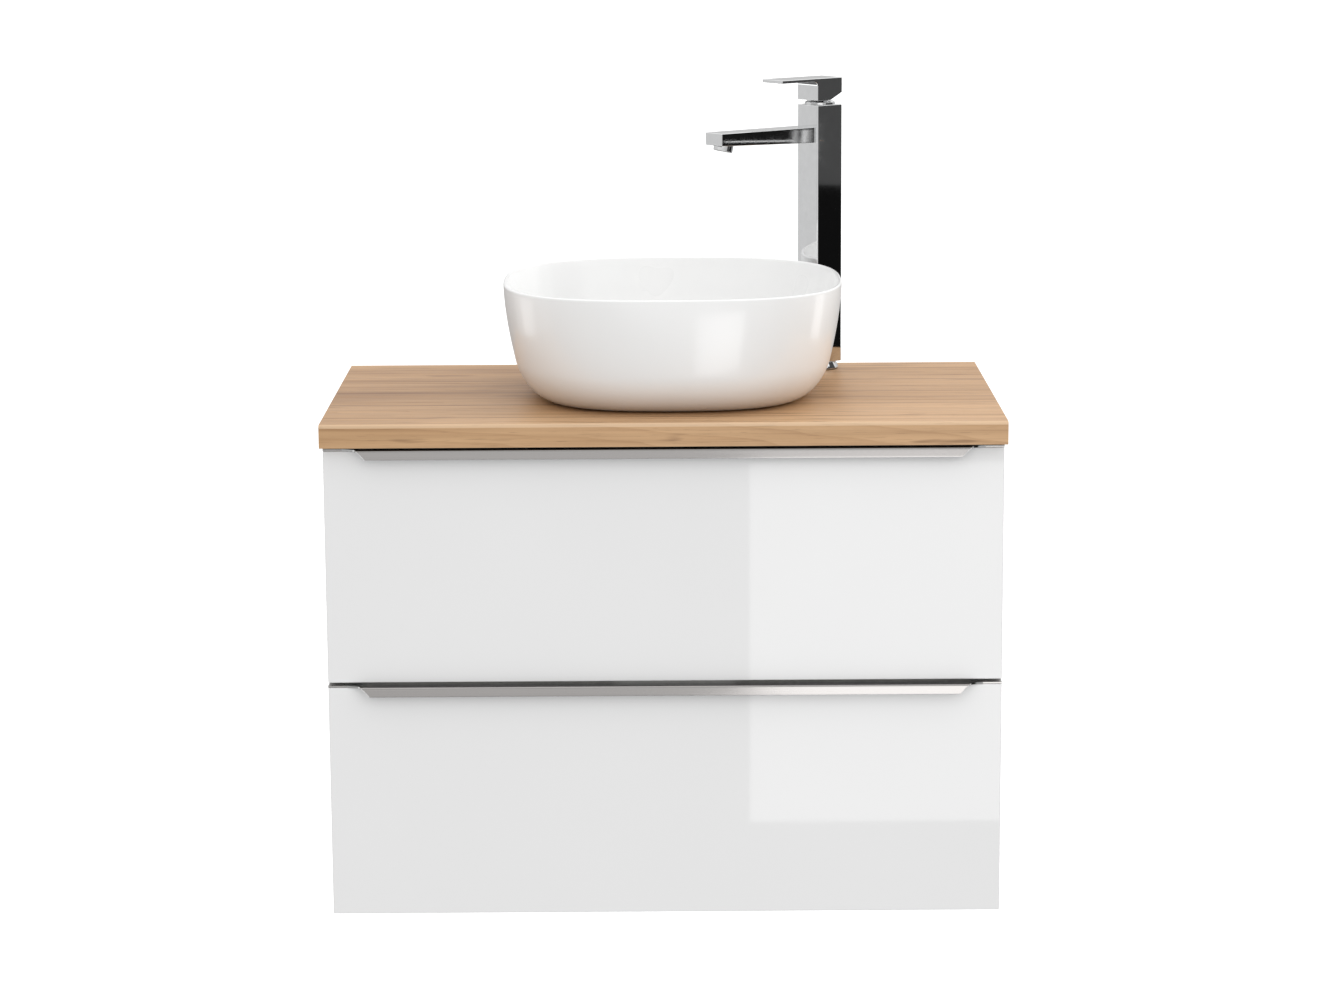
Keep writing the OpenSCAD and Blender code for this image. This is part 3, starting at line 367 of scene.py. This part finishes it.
def new_piece(name, mesh_builder):
    """An object from a finished bmesh, shaded smooth between its sharp edges."""
    mesh = bpy.data.meshes.new(name)
    bmesh.ops.recalc_face_normals(mesh_builder, faces=mesh_builder.faces)
    mesh_builder.to_mesh(mesh)
    mesh_builder.free()
    mesh.shade_smooth()
    mesh.set_sharp_from_angle(angle=CREASE)
    piece = bpy.data.objects.new(name, mesh)
    bpy.context.scene.collection.objects.link(piece)
    weights = piece.modifiers.new("even_shading", "WEIGHTED_NORMAL")
    weights.keep_sharp = True
    return piece


def bevel_sharp(builder, width, segments, wanted=None):
    """Rounds the edges that are sharper than 30 degrees."""
    edges = [
        edge
        for edge in builder.edges
        if len(edge.link_faces) == 2
        and edge.calc_face_angle(0) > SHARP
        and (wanted is None or wanted(edge))
    ]
    bmesh.ops.bevel(
        builder,
        geom=edges,
        offset=width,
        offset_type="OFFSET",
        segments=segments,
        profile=0.5,
        affect="EDGES",
        clamp_overlap=False,
    )


def softened(node, width, materials=None, pick=None, segments=2, wanted=None):
    """The CAD node's own shape with softened edges. pick gives the index of a face's material."""
    builder = bmesh.new()
    builder.from_mesh(frame["nodes"][node].data)
    bmesh.ops.remove_doubles(builder, verts=builder.verts, dist=0.001 * MM)
    bmesh.ops.dissolve_limit(builder, angle_limit=SAME_PLANE, verts=builder.verts, edges=builder.edges)
    bevel_sharp(builder, width, segments, wanted)
    for face in builder.faces:
        face.material_index = pick(face) if pick else 0
    piece = new_piece("soft_" + node, builder)
    finished(piece, node, materials or [FINISH_OF_SLOT[slot_of[node]]])


def arc(centre, radius, start, end, steps):
    """Points of an arc as (x, y) pairs. Angles are in degrees."""
    angles = [math.radians(start + (end - start) * step / steps) for step in range(steps + 1)]
    return [(centre[0] + radius * math.cos(a), centre[1] + radius * math.sin(a)) for a in angles]


# ---- Worktop and fronts ----


WORKTOP_FINISHES = [OAK, OAK_END, BACKING, CHIPS, OAK_NOSE_HIGHLIGHT]
END_AREA = 1e-3
EDGE_REACH = 0.5 * MM


def worktop_face(face):
    """Oak on the top and front, with a painted highlight where it is bent over the nose, and an edge band on
    the ends.
    """
    low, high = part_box("worktop")
    centre = face.calc_center_median()
    finish = OAK
    if face.normal.y < -0.25 and face.normal.z > 0.2:
        finish = OAK_NOSE_HIGHLIGHT
    elif abs(face.normal.x) > 0.8 and face.calc_area() > END_AREA:
        finish = OAK_END
    elif face.normal.z < -0.8 or face.normal.y > 0.8:
        finish = BACKING
    elif abs(face.normal.z) < 0.5 and centre.y > low[1] + 20 * MM and abs(centre.x) < high[0] - 5 * MM:
        finish = CHIPS
    return WORKTOP_FINISHES.index(finish)


def front_face(face):
    """Gloss on the front and edges, plain board on the back."""
    return 1 if face.normal.y > 0.8 else 0


def outer_edge(node, reach):
    """Says whether an edge lies on the outside of a node's box, so that small bores stay crisp."""
    low, high = (Vector(corner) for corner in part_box(node))

    def wanted(edge):
        middle = (edge.verts[0].co + edge.verts[1].co) / 2
        near = [min(abs(middle[k] - low[k]), abs(middle[k] - high[k])) < reach for k in range(3)]
        return sum(near) >= 2

    return wanted


softened("worktop", 0.6 * MM, WORKTOP_FINISHES, worktop_face, 2, outer_edge("worktop", EDGE_REACH))
for drawer in ("upper", "lower"):
    front = drawer + "_front"
    softened(front, 1.4 * MM, [GLOSS, BOARD], front_face, 3, outer_edge(front, EDGE_REACH))


# ---- Handles ----

HANDLE_T = 2 * MM
# Distance from the front's face to the fin in its kerf
FIN_SETBACK = 8 * MM
# Distance from the handle's end to the lip's end, and how much further in the lip ends at its lower edge
LIP_INSET = 38.5 * MM
LIP_SLANT = 10 * MM
# How much further out the flat part ends where it meets the front, and how sharply it sweeps there
LIP_SWEEP = 16 * MM
SWEEP_POWER = 2.6
# How much further in the lip's outer face ends than its inner face, so that its cut end shows
CUT_SLANT = 1.9 * MM
INNER_BEND = 0.6 * MM
FLAT_STEPS = 8
BEND_STEPS = 8
LIP_STEPS = 6


def sheet_stations(reach, drop):
    """(outer point, inner point) pairs along a bent sheet: over the front, round the bend, down the lip.

    Points are (y, z) from the top of the front's face.
    """
    t = HANDLE_T
    bend = (-reach + t, -t)
    stations = []
    for step in range(FLAT_STEPS + 1):
        y = (bend[0] - INNER_BEND * 0.4) * step / FLAT_STEPS
        stations.append(((y, 0), (y, -t)))
    outer = arc(bend, t, 90, 180, BEND_STEPS)
    inner = arc((bend[0] + INNER_BEND, -t - INNER_BEND), INNER_BEND, 90, 180, BEND_STEPS)
    stations += list(zip(outer[1:], inner[1:]))
    for step in range(1, LIP_STEPS + 1):
        share = step / LIP_STEPS
        outer_z = -t + (t - drop) * share
        inner_z = -t - INNER_BEND + (t + INNER_BEND - drop) * share
        stations.append(((-reach, outer_z), (-reach + t, inner_z)))
    return stations


def lip_drop(node):
    """Height of the lip: the lowest vertex in front of the drawer front, from the handle's top."""
    face_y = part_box(node.replace("handle", "front"))[0][1]
    points = [vertex.co for vertex in frame["nodes"][node].data.vertices]
    lip = [point.z for point in points if point.y < face_y - 5 * MM]
    return max(point.z for point in points) - min(lip)


def handle(drawer):
    """Bent aluminium handle: a flange and fin in the front's top edge, and a lip with bright cut ends."""
    node = drawer + "_handle"
    low, high = (Vector(corner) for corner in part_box(node))
    face_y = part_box(drawer + "_front")[0][1]
    half_w = high.x
    reach = face_y - low.y
    drop = lip_drop(node)
    lip_half = half_w - LIP_INSET
    builder = bmesh.new()
    columns = [-1, -0.98, -0.5, 0, 0.5, 0.98, 1]
    rows = []
    for outer, inner in sheet_stations(reach, drop):
        forward = min(1, -outer[0] / (reach - HANDLE_T))
        down = max(0, -outer[1]) / drop
        half = lip_half + LIP_SWEEP * (1 - forward) ** SWEEP_POWER - LIP_SLANT * down
        outer_half = half - CUT_SLANT * min(1, 4 * down)
        row = []
        for (y, z), across in ((outer, outer_half), (inner, half)):
            row.append([builder.verts.new((across * c, face_y + y, high.z + z)) for c in columns])
        rows.append(row)
    last = len(columns) - 1
    for (outer_a, inner_a), (outer_b, inner_b) in zip(rows, rows[1:]):
        for k in range(last):
            builder.faces.new((outer_a[k], outer_a[k + 1], outer_b[k + 1], outer_b[k]))
            builder.faces.new((inner_a[k], inner_b[k], inner_b[k + 1], inner_a[k + 1]))
        for k in (0, last):
            builder.faces.new((outer_a[k], outer_b[k], inner_b[k], inner_a[k])).material_index = 1
    for outer, inner in (rows[0], rows[-1]):
        for k in range(last):
            builder.faces.new((outer[k], outer[k + 1], inner[k + 1], inner[k]))
    fin_y = face_y + FIN_SETBACK
    under = high.z - HANDLE_T
    bars = [
        ((-half_w, face_y, under), (half_w, high.y, high.z)),
        ((-half_w, fin_y, low.z), (half_w, fin_y + HANDLE_T, under)),
    ]
    for near, far in bars:
        size = Vector(far) - Vector(near)
        centre = (Vector(far) + Vector(near)) / 2
        place = Matrix.Translation(centre) @ Matrix.Diagonal((*size, 1))
        bmesh.ops.create_cube(builder, size=1, matrix=place)
    for face in builder.faces:
        face.normal_update()
        if abs(face.normal.x) > 0.9:
            face.material_index = 1
    # The cut ends stay crisp, so that they catch the light as one bright line
    bevel_sharp(builder, 0.2 * MM, 2, lambda edge: all(face.material_index == 0 for face in edge.link_faces))
    finished(new_piece("handle_" + drawer, builder), node, [ALUMINIUM, CUT_EDGE])


for drawer in ("upper", "lower"):
    handle(drawer)


# ---- Basin ----

# Squareness of the outline: 2 is an ellipse, and more is closer to a rectangle
BASIN_POWER = 2.75
# How much further in the wall is at its foot than at the rim, and how late it leans in
BASIN_LEAN = 26 * MM
LEAN_POWER = 1.6
# Width and height of the rounding between the wall and the flat foot, and what the inside has less of each
FOOT_ROUND = (30 * MM, 47 * MM)
INSIDE_ROUND_LESS = (2 * MM, 5 * MM)
FOOT_FLAT_INSET = 20 * MM
# Thickness of the rim and, at this depth under it and below, of the wall
RIM_T = 4.5 * MM
WALL_T = 9 * MM
FULL_WALL_DEPTH = 40 * MM
FLOOR_T = 16 * MM
FLOOR_FALL = 5 * MM
WASTE_HOLE = 22.5 * MM
# Steps round the outline, then down the profile
AROUND = 160
ROUND_STEPS = 16
WALL_STEPS = 14
RIM_STEPS = 8
FLOOR_STEPS = 12


def basin_profile(height, half_depth):
    """(inset from the rim's outline, height) from the flat foot, over the rim and in to the waste."""
    inner = height - FLOOR_T - FLOOR_FALL
    rim = RIM_T / 2

    def lean(share):
        return BASIN_LEAN * share**LEAN_POWER

    def inside(depth):
        thickening = math.sin(math.pi / 2 * min(1, depth / FULL_WALL_DEPTH))
        return RIM_T + (WALL_T - RIM_T) * thickening + lean(depth / inner)

    profile = [(lean(1) + FOOT_ROUND[0] + FOOT_FLAT_INSET, 0)]
    # Up round the foot, and up the outside of the wall
    for step in range(ROUND_STEPS + 1):
        angle = math.pi / 2 * (1 - step / ROUND_STEPS)
        depth = height - FOOT_ROUND[1] * (1 - math.sin(angle))
        profile.append((lean(depth / height) + FOOT_ROUND[0] * (1 - math.cos(angle)), height - depth))
    for step in range(1, WALL_STEPS + 1):
        depth = (height - FOOT_ROUND[1]) * (1 - step / WALL_STEPS) + rim * step / WALL_STEPS
        profile.append((lean(depth / height), height - depth))
    # Over the rim
    for step in range(1, RIM_STEPS + 1):
        angle = math.pi * step / RIM_STEPS
        profile.append((rim * (1 - math.cos(angle)), height - rim * (1 - math.sin(angle))))
    # Down the inside of the wall, round its foot, and in along the floor
    round_w, round_h = FOOT_ROUND[0] - INSIDE_ROUND_LESS[0], FOOT_ROUND[1] - INSIDE_ROUND_LESS[1]
    for step in range(1, WALL_STEPS + 1):
        depth = rim + (inner - round_h - rim) * step / WALL_STEPS
        profile.append((inside(depth), height - depth))
    for step in range(1, ROUND_STEPS + 1):
        angle = math.pi / 2 * step / ROUND_STEPS
        depth = inner - round_h * (1 - math.sin(angle))
        profile.append((inside(depth) + round_w * (1 - math.cos(angle)), height - depth))
    start = profile[-1][0]
    end = half_depth - WASTE_HOLE
    for step in range(1, FLOOR_STEPS + 1):
        share = step / FLOOR_STEPS
        fall = FLOOR_FALL * math.sin(math.pi / 2 * share)
        profile.append((start + (end - start) * share, height - inner - fall))
    return profile


def basin():
    """Thin-rimmed bowl on a superellipse that turns into the round waste hole at its floor."""
    low, high = (Vector(corner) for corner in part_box("basin"))
    centre = (low + high) / 2
    half_w, half_d = (high.x - low.x) / 2, (high.y - low.y) / 2
    height = high.z - low.z
    profile = basin_profile(height, half_d)
    floor_start = len(profile) - FLOOR_STEPS
    builder = bmesh.new()
    rings = []
    for index, (inset, z) in enumerate(profile):
        share = max(0, (index - floor_start + 1) / FLOOR_STEPS)
        ring = []
        for step in range(AROUND):
            angle = 2 * math.pi * step / AROUND
            cosine, sine = math.cos(angle), math.sin(angle)
            x = (half_w - inset) * math.copysign(abs(cosine) ** (2 / BASIN_POWER), cosine)
            y = (half_d - inset) * math.copysign(abs(sine) ** (2 / BASIN_POWER), sine)
            radius = half_d - inset
            x += (radius * cosine - x) * share
            y += (radius * sine - y) * share
            ring.append(builder.verts.new((centre.x + x, centre.y + y, low.z + z)))
        rings.append(ring)
    hole = [builder.verts.new((vertex.co.x, vertex.co.y, low.z)) for vertex in rings[-1]]
    for lower, upper in zip([hole] + rings, rings + [hole]):
        for step in range(AROUND):
            nxt = (step + 1) % AROUND
            builder.faces.new((lower[step], lower[nxt], upper[nxt], upper[step]))
    finished(new_piece("basin_bowl", builder), "basin", [GLAZE])


basin()


# ---- Tap ----

for node in ("tap_column", "tap_spout", "tap_lever"):
    softened(node, 0.9 * MM, segments=3)
for node in ("tap_foot", "dome_ring", "aerator_housing"):
    softened(node, 0.35 * MM, segments=3)


# ---- Waste and trap ----

for node in ("waste_plug", "wall_rosette", "trap_cup", "trap_nuts", "trap_body"):
    softened(node, 0.4 * MM, segments=2)


# ---- Boards and drawer parts ----

for node in (
    "side_left",
    "side_right",
    "bottom_panel",
    "top_front_rail",
    "top_back_rail",
    "back_rail_upper",
    "back_rail_lower",
    "upper_bottom",
    "lower_bottom",
    "lower_back_board",
):
    softened(node, 0.4 * MM, wanted=outer_edge(node, EDGE_REACH))

# Bumper pads of pale silicone on the carcass's front edges, behind the corners of each front
PAD_R = 4 * MM
PAD_T = 1.7 * MM
PAD_INSET = 30 * MM
PAD_AROUND = 24
PAD_RINGS = 6


def bumper_pads(side, drawer):
    """Two domed pads on a side panel's front edge, as high as the upper and lower corners of one front."""
    panel_low, panel_high = (Vector(corner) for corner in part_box(side))
    front_low, front_high = (Vector(corner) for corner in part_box(drawer + "_front"))
    builder = bmesh.new()
    for z in (front_low.z + PAD_INSET, front_high.z - PAD_INSET):
        centre = Vector(((panel_low.x + panel_high.x) / 2, panel_low.y, z))
        rings = []
        for step in range(PAD_RINGS + 1):
            angle = math.pi / 2 * step / PAD_RINGS
            radius, out = PAD_R * math.cos(angle), PAD_T * math.sin(angle)
            turns = [2 * math.pi * k / PAD_AROUND for k in range(PAD_AROUND)] if step < PAD_RINGS else [0]
            ring = []
            for turn in turns:
                point = Vector((radius * math.cos(turn), -out, radius * math.sin(turn)))
                ring.append(builder.verts.new(centre + point))
            rings.append(ring)
        builder.faces.new(rings[0])
        for lower, upper in zip(rings, rings[1:]):
            for k in range(PAD_AROUND):
                nxt = (k + 1) % PAD_AROUND
                corners = [lower[k], lower[nxt], upper[nxt % len(upper)], upper[k % len(upper)]]
                builder.faces.new(list(dict.fromkeys(corners)))
    pads = new_piece("pads_" + side + "_" + drawer, builder)
    pads.data.materials.append(SEALANT)
    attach(pads, "cabinet")


for side in ("side_left", "side_right"):
    for drawer in ("upper", "lower"):
        bumper_pads(side, drawer)

# Every CAD node that still shows takes its slot's finish
for node, piece in frame["nodes"].items():
    for material_slot in piece.material_slots:
        material_slot.material = FINISH_OF_SLOT[slot_of[node]]


# ---- Studio ----

FLOOR_GAP = 250 * MM
FLOOR_GLOW = 0.2
# Light from the world: under the horizon, at it, overhead, and how much of it from the left and the right
SKY_BELOW = 1.0
SKY_LOW = 0.53
SKY_HIGH = 1.64
SKY_LEFT = 0.9
SKY_RIGHT = 1.08
# What shiny parts see under the horizon: a share of the horizon's light, but this much straight in front
GROUND_SEEN = 0.3
FRONT_SEEN = 1.2
TO_LEFT = (-1, 0, 0)
TO_RIGHT = (1, 0, 0)
TO_WALL = (0, 1, 0)
CAMERA_PLACE = (0.0007, -4.5822, 0.7817)
CAMERA_PITCH = 10.83
CAMERA_ROLL = -0.355
CAMERA_LENS = 97.05


def plane(name, width, depth, place, facing):
    """A flat sheet of the studio, turned to face a direction."""
    builder = bmesh.new()
    bmesh.ops.create_grid(builder, x_segments=1, y_segments=1, size=0.5)
    builder.transform(Matrix.Diagonal((width, depth, 1, 1)))
    mesh = bpy.data.meshes.new(name)
    builder.to_mesh(mesh)
    builder.free()
    sheet = bpy.data.objects.new(name, mesh)
    bpy.context.scene.collection.objects.link(sheet)
    turn = Vector(facing).to_track_quat("Z", "Y").to_matrix().to_4x4()
    sheet.matrix_world = Matrix.Translation(place) @ turn
    return sheet


def glowing(name, strength):
    """White light of one strength, with no shading."""
    material = bpy.data.materials.new(name)
    material.use_nodes = True
    tree = material.node_tree
    tree.nodes.clear()
    glow = tree.nodes.new("ShaderNodeEmission")
    glow.inputs["Strength"].default_value = strength
    tree.links.new(glow.outputs[0], tree.nodes.new("ShaderNodeOutputMaterial").inputs["Surface"])
    return material


def mirror_card(name, width, height, place, facing, strength):
    """A card that only reflections see, as a studio stands round shiny things."""
    card = plane(name, width, height, place, facing)
    card.data.materials.append(glowing(name, strength))
    for kind in ("camera", "diffuse", "transmission", "volume_scatter", "shadow"):
        setattr(card, "visible_" + kind, False)


def area_light(name, size, place, target, energy):
    """A square soft light, turned to its target, that reflections don't see."""
    data = bpy.data.lights.new(name, "AREA")
    data.shape = "SQUARE"
    data.size = size
    data.energy = energy
    light = bpy.data.objects.new(name, data)
    light.location = place
    light.rotation_euler = (Vector(target) - Vector(place)).to_track_quat("-Z", "Y").to_euler()
    light.visible_glossy = False
    bpy.context.scene.collection.objects.link(light)


def sky():
    """Soft white light all round, stronger from overhead, from below the horizon and from the right.

    Reflections see a darker ground instead, except straight in front, so that shiny parts keep their shape.
    """
    world = bpy.data.worlds.new("studio")
    world.use_nodes = True
    tree = world.node_tree
    background = tree.nodes["Background"]
    background.inputs["Color"].default_value = (1, 1, 1, 1)
    direction = tree.nodes.new("ShaderNodeSeparateXYZ")
    tree.links.new(tree.nodes.new("ShaderNodeTexCoord").outputs["Generated"], direction.inputs[0])

    def span(axis, from_low, from_high, low, high):
        made = tree.nodes.new("ShaderNodeMapRange")
        values = {"From Min": from_low, "From Max": from_high, "To Min": low, "To Max": high}
        for label, value in values.items():
            made.inputs[label].default_value = value
        tree.links.new(direction.outputs[axis], made.inputs["Value"])
        return made.outputs[0]

    def combine(operation, *terms):
        made = tree.nodes.new("ShaderNodeMath")
        made.operation = operation
        for socket, term in zip(made.inputs, terms):
            if isinstance(term, bpy.types.NodeSocket):
                tree.links.new(term, socket)
            else:
                socket.default_value = term
        return made.outputs[0]

    above = span("Z", 0.0, 1.0, SKY_LOW, SKY_HIGH)
    lit_below = span("Z", -0.1, 0.0, SKY_BELOW - SKY_LOW, 0.0)
    lit = combine("MULTIPLY", combine("ADD", above, lit_below), span("X", -1.0, 1.0, SKY_LEFT, SKY_RIGHT))
    ground = span("Z", -0.45, 0.0, GROUND_SEEN, 1.0)
    ahead = span("Y", -0.97, -0.88, FRONT_SEEN, 0.0)
    below = span("Z", -0.02, 0.0, 1.0, 0.0)
    seen = combine("MAXIMUM", combine("MULTIPLY", above, ground), combine("MULTIPLY", ahead, below))
    glossy = tree.nodes.new("ShaderNodeLightPath").outputs["Is Glossy Ray"]
    change = combine("MULTIPLY", glossy, combine("SUBTRACT", seen, lit))
    tree.links.new(combine("ADD", lit, change), background.inputs["Strength"])
    bpy.context.scene.world = world


def studio():
    """Pale floor, soft lights, and cards that only shiny parts see."""
    floor_z = cad_box[0][2] - FLOOR_GAP
    floor = plane("floor", 60, 60, (0, 0, floor_z), (0, 0, 1))
    pale = Finish("pale_floor", (0.92, 0.92, 0.92), 0.9)
    cloud = pale.noise(0.7)
    pale.feed("Base Color", pale.mix(cloud, (0.915, 0.915, 0.915), (0.925, 0.925, 0.925)))
    pale.shader.inputs["Emission Color"].default_value = (1, 1, 1, 1)
    pale.shader.inputs["Emission Strength"].default_value = FLOOR_GLOW
    floor.data.materials.append(pale.material)
    floor.visible_diffuse = False
    floor.visible_glossy = False
    sky()
    area_light("key", 2.0, (2.4, -2.6, 1.6), (0, -0.2, -0.1), 9)
    area_light("side", 1.0, (2.6, 1.3, 0.8), (0, -0.2, 0.15), 22)
    mirror_card("dark_card_low", 2.6, 1.4, (2.0, -0.6, -0.57), TO_LEFT, 0.006)
    mirror_card("dark_card_high", 2.6, 1.2, (2.0, -0.6, 0.73), TO_LEFT, 0.075)
    mirror_card("soft_window", 0.6, 0.565, (0.43, -1.65, -0.4675), TO_WALL, 3.0)
    mirror_card("left_glint", 1.0, 0.53, (-2.39, 0.65, -0.485), TO_RIGHT, 1.8)
    mirror_card("right_glint", 0.6, 0.6, (1.98, 0.45, -0.36), TO_LEFT, 1.8)
    mirror_card("spout_dark", 0.17, 0.1, (1.99, -0.625, 0.21), TO_LEFT, 0.01)
    mirror_card("spout_line", 0.13, 0.006, (1.985, -0.605, 0.195), TO_LEFT, 1.0)
    stripe_w = 9 * MM
    for index, strength in enumerate((0.5, 0.02, 0.9, 0.3)):
        place = (1.985, -0.536 + stripe_w * index, 0.21)
        mirror_card("spout_stripe", stripe_w, 0.07, place, TO_LEFT, strength)
    mirror_card("pale_card", 3.0, 2.4, (-2.4, 0.6, 0.2), TO_RIGHT, 0.72)
    bpy.context.scene.view_settings.view_transform = "Standard"


def camera():
    """The camera of the main view. Its pitch is below level."""
    data = bpy.data.cameras.new("camera")
    data.sensor_fit = "HORIZONTAL"
    data.sensor_width = 36
    data.lens = CAMERA_LENS
    made = bpy.data.objects.new("camera", data)
    tilt = Matrix.Rotation(math.radians(90 - CAMERA_PITCH), 4, "X")
    roll = Matrix.Rotation(math.radians(CAMERA_ROLL), 4, "Z")
    made.matrix_world = Matrix.Translation(CAMERA_PLACE) @ tilt @ roll
    bpy.context.scene.collection.objects.link(made)
    bpy.context.scene.camera = made


studio()
camera()
